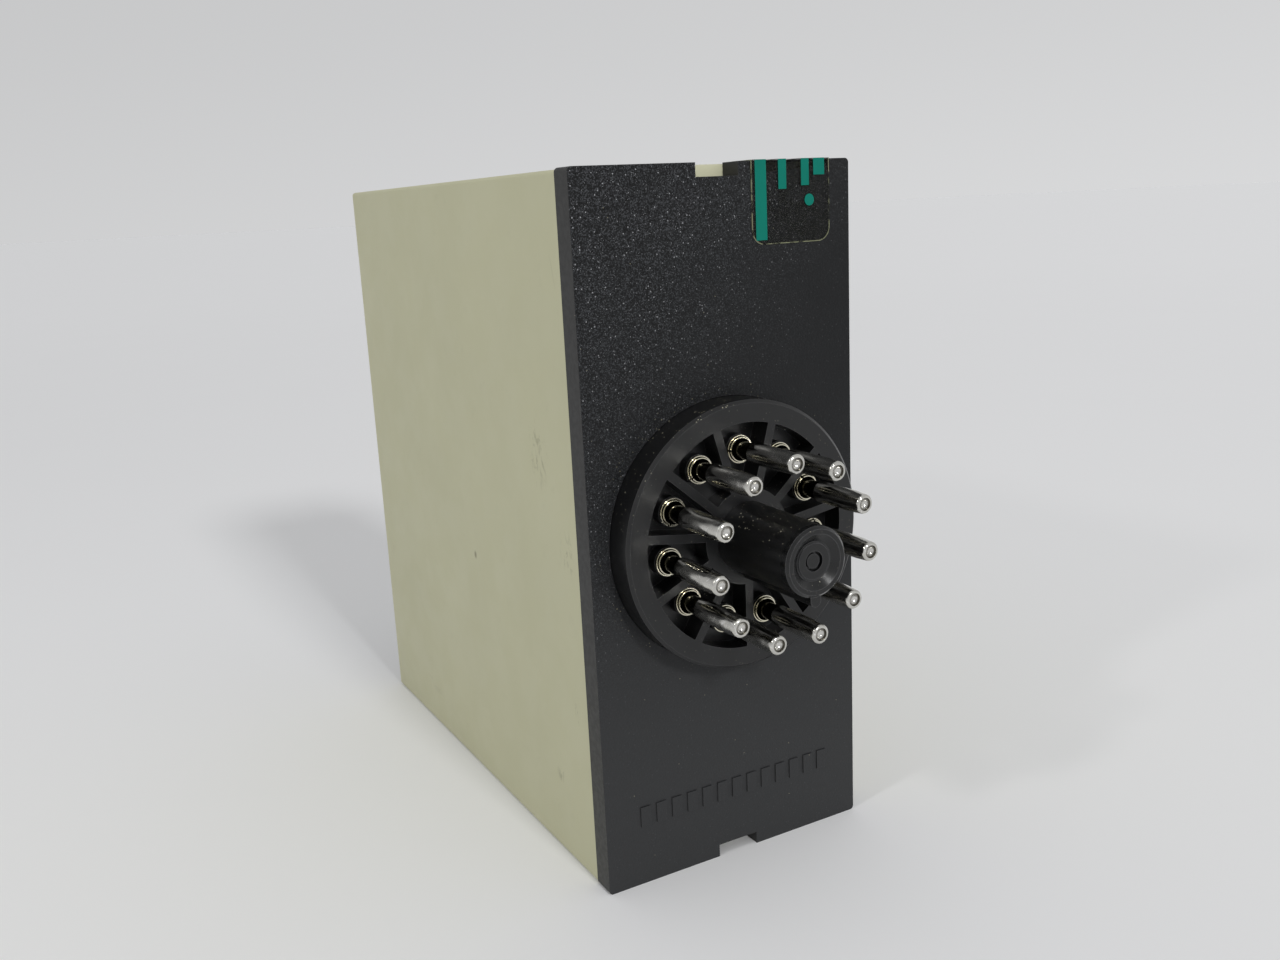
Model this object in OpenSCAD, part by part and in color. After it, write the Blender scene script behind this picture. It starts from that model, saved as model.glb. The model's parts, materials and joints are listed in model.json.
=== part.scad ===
// Plug-in relay module: a tall, narrow box that is closed by a base plate
// carrying a round plug with eleven contact pins and a keyed guide spigot.
// Inside stand a mains transformer, a two-pole relay and a control circuit.
// The plug points along +Y, the front with its dial faces -Y, and +Z is up.
// The origin is on the plug's axis, at the face of the plug disc.

/* [Body] */
// Width of the base plate
body_w = 35.5; // [35.5:0.1:37]
// Height of the base plate
body_h = 81; // [81:0.5:84]
// Depth from the front face to the outer face of the base plate
body_d = 75.5; // [75.5:0.5:84]
// Thickness of the base plate
plate_t = 3; // [2.6:0.1:3.4]
// Wall thickness of the housing
wall_t = 1.8; // [1.6:0.1:2]
// Width of the notches in the plate's top and bottom edge
notch_w = 5.4; // [4:0.2:7]
// Depth of those notches
notch_h = 1.5; // [1:0.1:1.6]

/* [Plug] */
// Diameter of the plug disc
disc_d = 30.6; // [30:0.1:30.8]
// Height of the plug disc above the base plate
disc_h = 3.9; // [3.4:0.1:4.4]
// Diameter of the circle that the contact pins stand on
pin_circle_d = 19.5; // [19:0.1:20]
// Diameter of a contact pin
pin_d = 2.36; // [2.3:0.02:2.5]
// Reach of the pins beyond the disc face
pin_reach = 9.4; // [8.6:0.1:10]
// Reach of the guide spigot beyond the disc face
spigot_reach = 12.45; // [11.5:0.05:13.5]
// Diameter of the guide spigot at its foot
spigot_d = 8; // [7.6:0.1:8.2]
// Width of the key ridge along the spigot
key_w = 1.3; // [1.1:0.1:1.6]
// Height of the key ridge above the spigot
key_h = 0.9; // [0.7:0.1:1.1]

/* [Dial] */
// Diameter of the dial's skirt
dial_d = 20; // [19.5:0.5:24]
// Depth of the dial
dial_h = 11; // [10:0.5:13]
// Height of the dial's axis above the plug's axis
dial_z = -6; // [-8:0.5:-4]

/* [Relay] */
// Length of the relay's cover
relay_l = 29; // [29:0.5:31]
// Width of the relay's cover
relay_w = 12.7; // [12.7:0.1:13.5]
// Height of the relay's cover
relay_h = 15.7; // [15.7:0.1:17]

/* [Hidden] */
$fn = 48;
pin_count = 11;
PIN_NODES = [for (i = [1:pin_count]) str("contact_pin_", i)];

// Colours
beige = [0.72, 0.71, 0.60];
black = [0.10, 0.10, 0.11];
soft_black = [0.16, 0.16, 0.17];
nickel = [0.78, 0.77, 0.74];
tin = [0.70, 0.71, 0.72];
teal = [0.10, 0.60, 0.54];
copper = [0.72, 0.38, 0.20];
steel = [0.55, 0.56, 0.58];
brass = [0.80, 0.66, 0.36];
board_green = [0.12, 0.38, 0.22];
nylon = [0.90, 0.89, 0.84];

// Planes from the plug face back to the front
plate_front = -disc_h;
plate_back = plate_front - plate_t;
front_y = plate_front - body_d;
front_wall = 2;
front_inner = front_y + front_wall;

// Housing, a little smaller than the plate on three sides
side_inset = 0.1;
top_inset = 0.15;
edge_r = 0.5;
shell_x = body_w / 2 - side_inset;
shell_top = body_h / 2 - top_inset;
shell_bottom = -body_h / 2;
inner_x = shell_x - wall_t;
inner_top = shell_top - wall_t;
inner_bottom = shell_bottom + wall_t;
label_x = 15.5;
label_z = 37;
label_t = 0.4;
label_recess = 0.5;
label_gap = 0.15;
led_x = 6;
led_z = 27;
led_d = 3;
led_hole_d = 3.4;
bushing_d = 7;
bushing_hole_d = 7.4;

// Snap rims on the back of the base plate, with their hooks
rim_gap = 0.25;
rim_t = 1.4;
rim_depth = 5;
rim_leg = 9;
hook_w = 8;
hook_out = 0.7;
hook_low = 3.3;
hook_high = 4.7;
hook_play = 0.4;

// Row of plain raised bars low on the base plate
bar_count = 13;
bar_pitch = 2.1;
bar_w = 1.3;
bar_h = 2.4;
bar_z = -32;
bar_t = 0.16;

// Plug disc with its ring of pockets
disc_r = disc_d / 2;
disc_chamfer = 0.35;
disc_play = 0.05;
pocket_out_r = 12.86;
pocket_in_r = 5.48;
pocket_depth = 2.7;
rib_w = 1;
flange_x = 15.4;
flange_z = 20;
flange_t = 1.6;
flange_back = plate_back - flange_t;
stake_x = 12.6;
stake_z = 17.2;
stake_r = 1.4;
stake_head_r = 2.1;
stake_head_t = 0.9;
stake_play = 0.1;

// Spigot and the details of its end
spigot_tip_d = spigot_d - 0.4;
spigot_chamfer = 0.3;
dish_r = 3;
dish_floor_r = 2.15;
dish_depth = 0.62;
dish_slope = (dish_r - dish_floor_r) / dish_depth;
end_boss_r = 1.95;
end_boss_set_back = 0.5;
end_hole_r = 1.08;
end_hole_depth = 0.5;
end_dome_r = 0.8;
end_dome_drop = 0.15;
spigot_core_r = 2.1;
spigot_end_wall = 3;
spigot_foot = 1.5;
spigot_play = 0.02;

// Contact pin, from its rolled tail to its nose
pin_r = pin_d / 2;
pin_circle_r = pin_circle_d / 2;
pin_bore_r = 0.72;
pin_hole_play = 0.04;
tail_r = 1.35;
tail_collar_r = 1.8;
tail_collar_t = 0.7;
tail_bore_end = -4;
pin_seat_r = 1.66;
pin_seat_depth = 1.35;
pin_flange_r = 1.58;
pin_flange_t = 0.3;
pin_ring_r = 1.38;
pin_ring_t = 0.3;
pin_ring_lip = 0.11;
pin_funnel_depth = 1.2;
pin_neck_r = 0.98;
pin_shoulder = 1.75;
pin_shoulder_len = 0.12;
pin_taper_len = 1.9;
pin_tip_r = 1.08;
pin_nose_r = 0.3;
seam_w = 0.2;
seam_r = 1.12;
seam_floor = 0.1;
nose_cup_depth = 1.2;
wire_r = 0.3;
solder_r = pin_bore_r - 0.02;
solder_set_back = 0.2;

// Clear label that is folded over the top edge of the plate
film_t = 0.1;
film_left = -14.9;
film_right = -4.3;
film_bottom = 31.5;
film_corner = 1.6;
film_tail = 11;
film_step = 0.4;

// Boards
board_t = 1.6;
board_gap = 1.55;
board_back = -inner_x + board_gap;
board_face = board_back + board_t;
board_near = -13.5;
board_far = front_inner + 2;
board_edge_gap = 0.5;
rail_h = 2.2;
rail_w = 1;
rail_play = 0.1;
terminal_board_front = -11;
terminal_board_x = 12.8;
terminal_board_z = 17.5;
peg_z = 15.5;
peg_r = 1;
peg_post_r = 2;
peg_play = 0.1;
lead_r = 0.3;
lead_side_r = 0.26;
lead_hole_r = 0.45;
lead_tail = board_t + 1;
link_y = -15.3;
link_x = -11;
link_pitch = 2.54;
link_out = 0.8;
link_half = 0.3;

// Potentiometer behind the dial
pot_front = front_inner + 0.1;
pot_depth = 8;
pot_half = 8.5;
pot_wall = 1.4;
pot_cavity_r = 7.6;
shaft_r = 3;
shaft_play = 0.05;
shaft_core_r = 2;
shaft_collar_r = 4.5;
shaft_collar_t = 0.8;
cavity_play = 0.2;
wiper_r = 4;
wiper_t = 1;
wiper_arm_w = 2;
wiper_arm_r = 6.5;
brush_gap = 0.1;
track_t = 1;
track_out_r = 7.3;
track_in_r = 4.6;
terminal_pitch = 5;
terminal_y = front_inner + 6.4;

// Dial
knob_gap = 0.8;
skirt_t = 1.6;
grip_r = 8.2;
grip_tip_r = 7.7;
flute_count = 24;
flute_r = 0.8;
cap_r = 5.9;
cap_t = 0.8;
cap_play = 0.05;
pointer_w = 0.9;
pointer_gap = 0.2;
pointer_depth = 0.4;
knob_near = front_y - knob_gap;
knob_far = knob_near - dial_h;
shaft_end = knob_far + cap_t + 1.6;

// Transformer with its coil axis square to the board
transformer_at = [-30, -20];
core_lift = 0.6;
core_w = 30;
core_h = 25;
core_stack = 15.5;
core_leg = 5;
core_window_w = 5;
bobbin_wall = 0.8;
bobbin_play = 0.2;
bobbin_flange = 0.8;
bobbin_x = 12.2;
bobbin_y = 9.8;
winding_inset = 0.3;
foot_w = 2.4;
transformer_pin_pitch = 5;

// Relay in its own frame: x along its length, y across it, z away from the board
relay_at = [-46, 8];
cover_wall = 0.8;
cover_lift = 0.5;
base_lift = 0.3;
base_top = 2.6;
base_play = 0.05;
coil_axis = 8.3;
coil_near = 10.4;
coil_far = 23.4;
coil_flange = 0.8;
coil_flange_y = 4.8;
coil_flange_z = 4.5;
coil_barrel_r = 2.3;
coil_r = 4.2;
coil_core_r = 1.5;
coil_core_play = 0.05;
pole_r = 3;
pole_t = 1;
pole_gap = 0.1;
yoke_t = 1.2;
yoke_y = 4;
yoke_near = 8.4;
yoke_far = 24.9;
yoke_top = 12.3;
armature_near = 7.2;
armature_t = 1;
armature_y = 4.2;
armature_bottom = 2.9;
armature_shoulder = 11.5;
armature_tip_y = 2.5;
armature_top = 13;
spring_t = 0.15;
spring_y = 2.6;
spring_near = 6.6;
spring_far = 14;
spring_top = 8;
spring_bed = 0.25;
card_near = 2.2;
card_far = 9;
card_y = 4.8;
card_bottom = 12;
card_top = 12.8;
card_play = 0.2;
blade_x = 3;
blade_t = 0.2;
blade_w = 2.2;
blade_y = 3;
blade_bottom = 1.5;
blade_top = 13.2;
blade_slot = 0.8;
contact_r = 0.9;
contact_t = 0.4;
contact_z = 10.6;
post_t = 0.3;
post_top = 11.6;
break_face = 2.46;
make_face = 4.45;
RELAY_PINS = [[2, 4.4], [4.4, 2], [6.8, 4.4], [26.5, 3.75]];
relay_pin_r = 0.4;
relay_pin_top = 1.2;

// Small components, each placed by its distance along Y and its height Z
capacitor_at = [-54, -12];
capacitor_d = 12.5;
capacitor_h = 20;
capacitor_lift = 0.4;
capacitor_groove = 0.5;
film_at = [-27, 22];
film_size = [13, 6, 11];
varistor_at = [-27, 31];
varistor_d = 9;
varistor_t = 4;
varistor_lift = 2;
axial_half_span = 5.08;
axial_height = 1.9;
diode_d = 2.6;
diode_l = 5;
DIODES = [for (k = [0:3]) [-50 - 3.6 * k, -28]];
resistor_d = 2.4;
resistor_waist_d = 2;
resistor_l = 6.4;
RESISTORS = [for (column = [18, 29.5], k = [0:3]) [-50 - 3.2 * k, column]];
ic_at = [-56.6, 6];
ic_size = [19.3, 6.4, 3.2];
ic_lift = 0.8;
ic_pitch = 2.54;
ic_row = 3.81;
ic_leg_z = 2.4;
ic_leg_t = 0.3;
transistor_d = 4.6;
transistor_flat = 1.4;
transistor_h = 5;
transistor_lift = 2.5;
transistor_pitch = 1.5;
TRANSISTORS = [[-64.5, 20], [-64.5, 31.5]];
led_lead_pitch = 2.54;
led_base_y = front_inner + 1.9;
led_flange_d = 3.8;
led_flange_t = 0.9;
LED_BENDS = [[led_x, led_base_y + 4.5], [-led_x, led_base_y + 2]];

// Where leads pass through the main board
RADIAL_LEADS = concat(
    [for (s = [-1, 1]) [capacitor_at[0] + 2.5 * s, capacitor_at[1], capacitor_lift]],
    [for (s = [-1, 1]) [film_at[0] + 5 * s, film_at[1], capacitor_lift]],
    [for (s = [-1, 1]) [varistor_at[0] + 2.5 * s, varistor_at[1], varistor_lift + 0.5]],
    [for (t = TRANSISTORS, k = [-1:1])
        [t[0] + transistor_pitch * k, t[1], transistor_lift]]);
AXIAL_LEADS = [for (c = concat(DIODES, RESISTORS), s = [-1, 1])
    [c[0], c[1] + axial_half_span * s, s]];
IC_LEADS = [for (k = [-3:3], s = [-1, 1]) [ic_at[0] + ic_pitch * k, ic_at[1] + ic_row * s, s]];
LED_LEADS = [for (b = LED_BENDS, s = [-1, 1]) [b[1], led_z + led_lead_pitch / 2 * s, b[0]]];
POT_LEADS = [for (k = [-1:1]) [terminal_y, dial_z + terminal_pitch * k]];
TRANSFORMER_LEADS = [for (s = [-1, 1], k = [-1.5:1.5])
    [transformer_at[0] + (bobbin_x - foot_w / 2) * s,
     transformer_at[1] + transformer_pin_pitch * k]];
RELAY_LEADS = [for (p = RELAY_PINS, s = [-1, 1]) [relay_at[0] + p[0], relay_at[1] + p[1] * s]];
LINKS = [for (k = [-5:5]) link_pitch * k];
BOARD_HOLES = concat(RADIAL_LEADS, AXIAL_LEADS, IC_LEADS, LED_LEADS, POT_LEADS,
    TRANSFORMER_LEADS, RELAY_LEADS, [for (z = LINKS) [link_y, z]]);

cut = 1; // how far cutting shapes run past the faces that they cut

// Angle of contact pin i from the key, seen from the pins
function pin_angle(i) = (i - 0.5) * 360 / pin_count;

// Block between two opposite corners
module block(low, high) {
    translate(low) cube(high - low);
}

// Profile drawn in X and Z, made solid between two planes across Y
module slab_y(y_low, y_high) {
    translate([0, y_high, 0]) rotate([90, 0, 0]) linear_extrude(y_high - y_low) children();
}

// Shapes drawn along +Z, turned to run along +Y from y_start
module along_y(y_start) {
    translate([0, y_start, 0]) rotate([-90, 0, 0]) children();
}

// Round bar or bore between two planes across Y
module bar_y(r, y_low, y_high) {
    along_y(y_low) cylinder(r = r, h = y_high - y_low);
}

// Shapes at the place of contact pin i
module at_pin(i) {
    rotate([0, -pin_angle(i), 0]) translate([0, 0, -pin_circle_r]) children();
}

// Shapes drawn on the main board: x is Y, y is Z, and z is the height above the board
module on_board() {
    translate([board_face, 0, 0]) rotate([90, 0, 90]) children();
}

module in_relay() {
    on_board() translate([relay_at[0], relay_at[1], 0]) children();
}

module in_transformer() {
    on_board() translate([transformer_at[0], transformer_at[1], core_lift]) children();
}

// Rectangle with round corners between two opposite corners
module round_rect(low, high, r) {
    translate([low[0] + r, low[1]]) square([high[0] - low[0] - 2 * r, high[1] - low[1]]);
    translate([low[0], low[1] + r]) square([high[0] - low[0], high[1] - low[1] - 2 * r]);
    for (x = [low[0] + r, high[0] - r], y = [low[1] + r, high[1] - r]) {
        translate([x, y]) circle(r);
    }
}

module notch_outline() {
    for (s = [-1, 1]) {
        translate([-notch_w / 2, s * body_h / 2 - notch_h]) square([notch_w, 2 * notch_h]);
    }
}

// Recesses in the top and bottom walls that the plate's hooks snap into
module hook_recesses() {
    for (z = [[inner_top - cut, inner_top + hook_out], [inner_bottom - hook_out, inner_bottom + cut]]) {
        block([-hook_w / 2 - hook_play, plate_back - hook_high - hook_play, z[0]],
              [hook_w / 2 + hook_play, plate_back - hook_low + hook_play, z[1]]);
    }
}

// Ribs on one inner wall that form a groove for the main board's edge
module board_rails(z_low, z_high) {
    block([-inner_x - wall_t / 2, front_inner - cut, z_low],
          [board_back - rail_play, board_near, z_high]);
    block([board_face + rail_play, front_inner - cut, z_low],
          [board_face + rail_play + rail_w, board_near, z_high]);
}

module housing() {
    color(beige) difference() {
        union() {
            difference() {
                slab_y(front_y, plate_back)
                    round_rect([-shell_x, shell_bottom], [shell_x, shell_top], edge_r);
                block([-inner_x, front_inner, inner_bottom],
                      [inner_x, plate_back + cut, inner_top]);
            }
            board_rails(inner_top - rail_h, inner_top + wall_t / 2);
            board_rails(inner_bottom - wall_t / 2, inner_bottom + rail_h);
        }
        hook_recesses();
        block([-label_x, front_y - cut, -label_z], [label_x, front_y + label_recess, label_z]);
        for (x = [-led_x, led_x]) {
            translate([x, 0, led_z]) bar_y(led_hole_d / 2, front_y - cut, front_inner + cut);
        }
        translate([0, 0, dial_z]) bar_y(bushing_hole_d / 2, front_y - cut, front_inner + cut);
    }
}

// Snap rim for one end of the plate, drawn for the top
module snap_rim(end_z) {
    rim_x = inner_x - rim_gap;
    block([-rim_x, plate_back - rim_depth, end_z - rim_t], [rim_x, plate_back + cut, end_z]);
    for (s = [-1, 1]) {
        block([s * rim_x - (s + 1) / 2 * rim_t, plate_back - rim_depth, end_z - rim_leg],
              [s * rim_x + (1 - s) / 2 * rim_t, plate_back + cut, end_z]);
    }
    block([-hook_w / 2, plate_back - hook_high, end_z - cut / 2],
          [hook_w / 2, plate_back - hook_low, end_z + hook_out]);
}

module base_plate() {
    color(black) {
        slab_y(plate_back, plate_front) difference() {
            round_rect([-body_w / 2, -body_h / 2], [body_w / 2, body_h / 2], edge_r);
            notch_outline();
            circle(disc_r + disc_play);
        }
        snap_rim(inner_top - rim_gap);
        mirror([0, 0, 1]) snap_rim(-inner_bottom - rim_gap);
        for (x = [-stake_x, stake_x], z = [-stake_z, stake_z]) {
            translate([x, 0, z]) bar_y(stake_r, flange_back - stake_head_t / 2, plate_back + cut);
            translate([x, 0, z]) bar_y(stake_head_r, flange_back - stake_head_t, flange_back);
        }
        for (k = [0:bar_count - 1]) {
            translate([(k - (bar_count - 1) / 2) * bar_pitch, plate_front, bar_z])
                block([-bar_w / 2, -cut, -bar_h / 2], [bar_w / 2, bar_t, bar_h / 2]);
        }
    }
}

// Outline of the spigot's key, which is round at its crest
module key_outline(play) {
    key_axis = spigot_d / 2 + key_h - key_w / 2;
    translate([0, -key_axis]) circle(key_w / 2 + play);
    translate([-key_w / 2 - play, -key_axis]) square([key_w + 2 * play, key_axis]);
}

// Keyed guide spigot, cored from behind, with its foot set into the hub of the plug and a dish
// in its end around a small boss with a round well
module spigot() {
    taper_len = spigot_reach - spigot_chamfer;
    boss_face = spigot_reach - end_boss_set_back;
    color(soft_black) difference() {
        union() {
            bar_y(spigot_d / 2, -spigot_foot, 0);
            along_y(0) cylinder(d1 = spigot_d, d2 = spigot_tip_d, h = taper_len);
            along_y(taper_len)
                cylinder(d1 = spigot_tip_d, d2 = spigot_tip_d - 2 * spigot_chamfer,
                         h = spigot_chamfer);
            slab_y(-spigot_foot, taper_len) key_outline(0);
        }
        bar_y(spigot_core_r, -spigot_foot - cut, spigot_reach - spigot_end_wall);
        difference() {
            along_y(spigot_reach - dish_depth)
                cylinder(r1 = dish_floor_r, r2 = dish_r + cut * dish_slope, h = dish_depth + cut);
            bar_y(end_boss_r, spigot_reach - 2 * dish_depth, boss_face);
        }
        difference() {
            bar_y(end_hole_r, boss_face - end_hole_depth, boss_face + cut);
            bar_y(end_dome_r, boss_face - 2 * end_hole_depth, boss_face - end_dome_drop);
        }
    }
}

// Plug disc with its ring of pockets, ribs, hub and pin seats, and the flange behind the plate
module plug_base() {
    color(soft_black) difference() {
        union() {
            difference() {
                union() {
                    bar_y(disc_r, flange_back, -disc_chamfer);
                    along_y(-disc_chamfer)
                        cylinder(r1 = disc_r, r2 = disc_r - disc_chamfer, h = disc_chamfer);
                }
                bar_y(pocket_out_r, -pocket_depth, cut);
            }
            bar_y(pocket_in_r, -pocket_depth - cut, 0);
            for (k = [1:pin_count]) {
                rotate([0, 360 / pin_count * k, 0])
                    block([-rib_w / 2, -pocket_depth - cut, -pocket_out_r - cut / 2],
                          [rib_w / 2, 0, -pocket_in_r + cut / 2]);
            }
            for (i = [1:pin_count]) {
                at_pin(i) bar_y(pin_seat_r, -pocket_depth - cut, -pin_seat_depth);
            }
            block([-flange_x, flange_back, -flange_z], [flange_x, plate_back, flange_z]);
            for (z = [-peg_z, peg_z]) {
                translate([0, 0, z]) bar_y(peg_post_r, terminal_board_front, flange_back + cut);
                translate([0, 0, z])
                    bar_y(peg_r, terminal_board_front - board_t - cut, terminal_board_front + cut);
            }
        }
        for (i = [1:pin_count]) {
            at_pin(i) bar_y(tail_r + pin_hole_play, flange_back - cut, -pin_seat_depth + cut);
        }
        for (x = [-stake_x, stake_x], z = [-stake_z, stake_z]) {
            translate([x, 0, z]) bar_y(stake_r + stake_play, flange_back - cut, plate_back + cut);
        }
        bar_y(spigot_core_r, flange_back - cut, cut);
        bar_y(spigot_d / 2 + spigot_play, -spigot_foot, cut);
        slab_y(-spigot_foot, cut) key_outline(spigot_play);
    }
}

// Contact pin number i: bored tail with a rolled collar, double flange with a seam and a funnel
// around the neck, and a body that tapers to a round nose with a solder cup
module contact_pin(i) {
    tail_end = flange_back - tail_collar_t;
    flange_top = -pin_seat_depth + pin_flange_t;
    ring_top = flange_top + pin_ring_t;
    nose = [for (a = [0:15:90])
        [pin_tip_r - pin_nose_r * (1 - cos(a)), pin_reach - pin_nose_r * (1 - sin(a))]];
    profile = concat(
        [[0, tail_bore_end], [pin_bore_r, tail_bore_end], [pin_bore_r, tail_end],
         [tail_collar_r, tail_end], [tail_collar_r, flange_back], [tail_r, flange_back],
         [tail_r, -pin_seat_depth], [pin_flange_r, -pin_seat_depth], [pin_flange_r, flange_top],
         [pin_ring_r, flange_top], [pin_ring_r, ring_top], [pin_ring_r - pin_ring_lip, ring_top],
         [pin_neck_r, ring_top - pin_funnel_depth], [pin_neck_r, pin_shoulder],
         [pin_r, pin_shoulder + pin_shoulder_len], [pin_r, pin_reach - pin_taper_len]],
        nose,
        [[pin_bore_r, pin_reach], [pin_bore_r, pin_reach - nose_cup_depth],
         [0, pin_reach - nose_cup_depth]]);
    color(nickel) at_pin(i) difference() {
        along_y(0) rotate_extrude() polygon(profile);
        block([-pin_flange_r - cut, seam_floor - pin_seat_depth, -seam_w / 2],
              [-seam_r, ring_top + cut, seam_w / 2]);
    }
}

// One conductor for each pin, from the terminal board into the bore of the pin's tail
module lead_wires() {
    color(copper) for (i = [1:pin_count]) {
        at_pin(i) bar_y(wire_r, terminal_board_front - board_t - link_out, tail_bore_end);
    }
}

// Solder in the cup of each pin's nose, with a small dimple
module solder_tips() {
    solder_end = pin_reach - solder_set_back;
    dimple_r = 0.6;
    dimple_depth = 0.25;
    color(tin) for (i = [1:pin_count]) {
        at_pin(i) difference() {
            bar_y(solder_r, pin_reach - nose_cup_depth, solder_end);
            translate([0, solder_end + dimple_r - dimple_depth, 0]) sphere(dimple_r);
        }
    }
}

// Outline of the label's leaf on the plate, with its lower corners round
module film_leaf() {
    translate([film_left, film_bottom + film_corner])
        square([film_right - film_left, body_h / 2 + film_t - film_bottom - film_corner]);
    translate([film_left + film_corner, film_bottom])
        square([film_right - film_left - 2 * film_corner, 2 * film_corner]);
    for (x = [film_left + film_corner, film_right - film_corner]) {
        translate([x, film_bottom + film_corner]) circle(film_corner);
    }
}

module seal_label() {
    step_y = plate_back - film_step;
    color(teal) {
        slab_y(plate_front, plate_front + film_t) film_leaf();
        block([film_left, step_y, body_h / 2],
              [film_right, plate_front + film_t, body_h / 2 + film_t]);
        block([film_left, step_y - film_t, shell_top], [film_right, step_y, body_h / 2 + film_t]);
        block([film_left, plate_back - film_tail, shell_top],
              [film_right, step_y, shell_top + film_t]);
    }
}

module front_label() {
    color(steel) slab_y(front_y + label_recess - label_t, front_y + label_recess) difference() {
        round_rect([-label_x + label_gap, -label_z + label_gap],
                   [label_x - label_gap, label_z - label_gap], edge_r);
        for (x = [-led_x, led_x]) {
            translate([x, led_z]) circle(d = led_hole_d);
        }
        translate([0, dial_z]) circle(d = bushing_hole_d);
    }
}

module knob() {
    color(soft_black) translate([0, 0, dial_z]) difference() {
        union() {
            bar_y(dial_d / 2, knob_near - skirt_t, knob_near);
            along_y(knob_far) cylinder(r1 = grip_tip_r, r2 = grip_r, h = dial_h - skirt_t + cut / 2);
        }
        for (k = [1:flute_count]) {
            rotate([0, 360 / flute_count * (k + 0.5), 0]) translate([0, 0, grip_r])
                bar_y(flute_r, knob_far - cut, knob_near - skirt_t);
        }
        bar_y(shaft_r + shaft_play / 2, shaft_end - cap_play, knob_near + cut);
        bar_y(cap_r + cap_play, knob_far - cut, knob_far + cap_t);
        block([-pointer_w / 2, knob_near - skirt_t - cut, grip_r + pointer_gap],
              [pointer_w / 2, knob_near - skirt_t + pointer_depth, dial_d / 2 + cut]);
        block([-pointer_w / 2, knob_far - cut, cap_r],
              [pointer_w / 2, knob_far + pointer_depth, grip_r + cut]);
    }
}

module knob_cap() {
    color(teal) translate([0, 0, dial_z]) difference() {
        bar_y(cap_r, knob_far, knob_far + cap_t);
        block([-pointer_w / 2, knob_far - cut, cap_r / 3],
              [pointer_w / 2, knob_far + pointer_depth, cap_r + cut]);
    }
}

module potentiometer_case() {
    pot_back = pot_front + pot_depth;
    color(soft_black) translate([0, 0, dial_z]) difference() {
        union() {
            block([-pot_half, pot_front, -pot_half], [pot_half, pot_back, pot_half]);
            bar_y(bushing_d / 2, front_y + 0.1, pot_front + cut);
        }
        bar_y(pot_cavity_r, pot_front + pot_wall, pot_back - pot_wall / 2);
        bar_y(shaft_r + shaft_play, front_y - cut, pot_front + cut + pot_wall);
    }
}

module potentiometer_shaft() {
    collar_near = pot_front + pot_wall + cavity_play;
    color(nylon) translate([0, 0, dial_z]) {
        bar_y(shaft_r, shaft_end, collar_near + cut / 2);
        bar_y(shaft_collar_r, collar_near, collar_near + shaft_collar_t);
        bar_y(shaft_core_r, collar_near, collar_near + shaft_collar_t + 2 * wiper_t);
    }
}

module potentiometer_wiper() {
    wiper_near = pot_front + pot_wall + cavity_play + shaft_collar_t + cavity_play / 2;
    track_face = pot_front + pot_depth - pot_wall / 2 - track_t;
    color(brass) translate([0, 0, dial_z]) difference() {
        union() {
            bar_y(wiper_r, wiper_near, wiper_near + wiper_t);
            block([-wiper_arm_w / 2, wiper_near, 0],
                  [wiper_arm_w / 2, wiper_near + wiper_t, wiper_arm_r]);
            block([-wiper_arm_w / 2, wiper_near, track_in_r + cavity_play],
                  [wiper_arm_w / 2, track_face - brush_gap, wiper_arm_r]);
        }
        bar_y(shaft_core_r + shaft_play / 2, wiper_near - cut, wiper_near + wiper_t + cut);
    }
}

module resistance_track() {
    track_back = pot_front + pot_depth - pot_wall / 2;
    color(soft_black) translate([0, 0, dial_z]) difference() {
        bar_y(track_out_r, track_back - track_t, track_back);
        bar_y(track_in_r, track_back - track_t - cut, track_back + cut);
    }
}

// Straight lead from its tail behind the board up to a height above it
module lead(at, height, r = lead_r) {
    translate([at[0], at[1], -lead_tail]) cylinder(r = r, h = lead_tail + height);
}

module potentiometer_terminals() {
    color(tin) on_board() for (p = POT_LEADS) {
        lead(p, -pot_half - board_face);
    }
}

module led(x) {
    translate([x, 0, led_z]) {
        bar_y(led_d / 2, front_y + 0.6, led_base_y);
        translate([0, front_y + 0.6, 0]) sphere(d = led_d);
        bar_y(led_flange_d / 2, led_base_y - led_flange_t, led_base_y);
    }
}

module led_green() {
    color([0.30, 0.75, 0.30]) led(led_x);
}

module led_red() {
    color([0.80, 0.16, 0.12]) led(-led_x);
}

module main_board() {
    color(board_green) difference() {
        block([board_back, board_far, inner_bottom + board_edge_gap],
              [board_face, board_near, inner_top - board_edge_gap]);
        on_board() for (h = BOARD_HOLES) {
            translate([h[0], h[1], -board_t - cut])
                cylinder(r = lead_hole_r, h = board_t + 2 * cut);
        }
    }
}

module terminal_board() {
    y_low = terminal_board_front - board_t;
    color(board_green) slab_y(y_low, terminal_board_front) difference() {
        translate([-terminal_board_x, -terminal_board_z])
            square([2 * terminal_board_x, 2 * terminal_board_z]);
        for (i = [1:pin_count]) {
            rotate(pin_angle(i)) translate([0, -pin_circle_r]) circle(lead_hole_r);
        }
        for (z = LINKS) {
            translate([link_x, z]) circle(lead_hole_r);
        }
        for (z = [-peg_z, peg_z]) {
            translate([0, z]) circle(peg_r + peg_play);
        }
    }
}

// Row of bent pins that joins the terminal board to the main board
module link_pins() {
    color(tin) for (z = LINKS) {
        block([link_x - link_half, link_y - link_half, z - link_half],
              [link_x + link_half, terminal_board_front + link_out, z + link_half]);
        block([board_face - lead_tail, link_y - link_half, z - link_half],
              [link_x + link_half, link_y + link_half, z + link_half]);
    }
}

module transformer_core() {
    color(steel) in_transformer() difference() {
        block([-core_stack / 2, -core_w / 2, 0], [core_stack / 2, core_w / 2, core_h]);
        for (s = [-1, 1]) {
            translate([0, s * (core_leg + core_window_w / 2), 0])
                block([-core_stack, -core_window_w / 2, core_leg],
                      [core_stack, core_window_w / 2, core_h - core_leg]);
        }
    }
}

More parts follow.
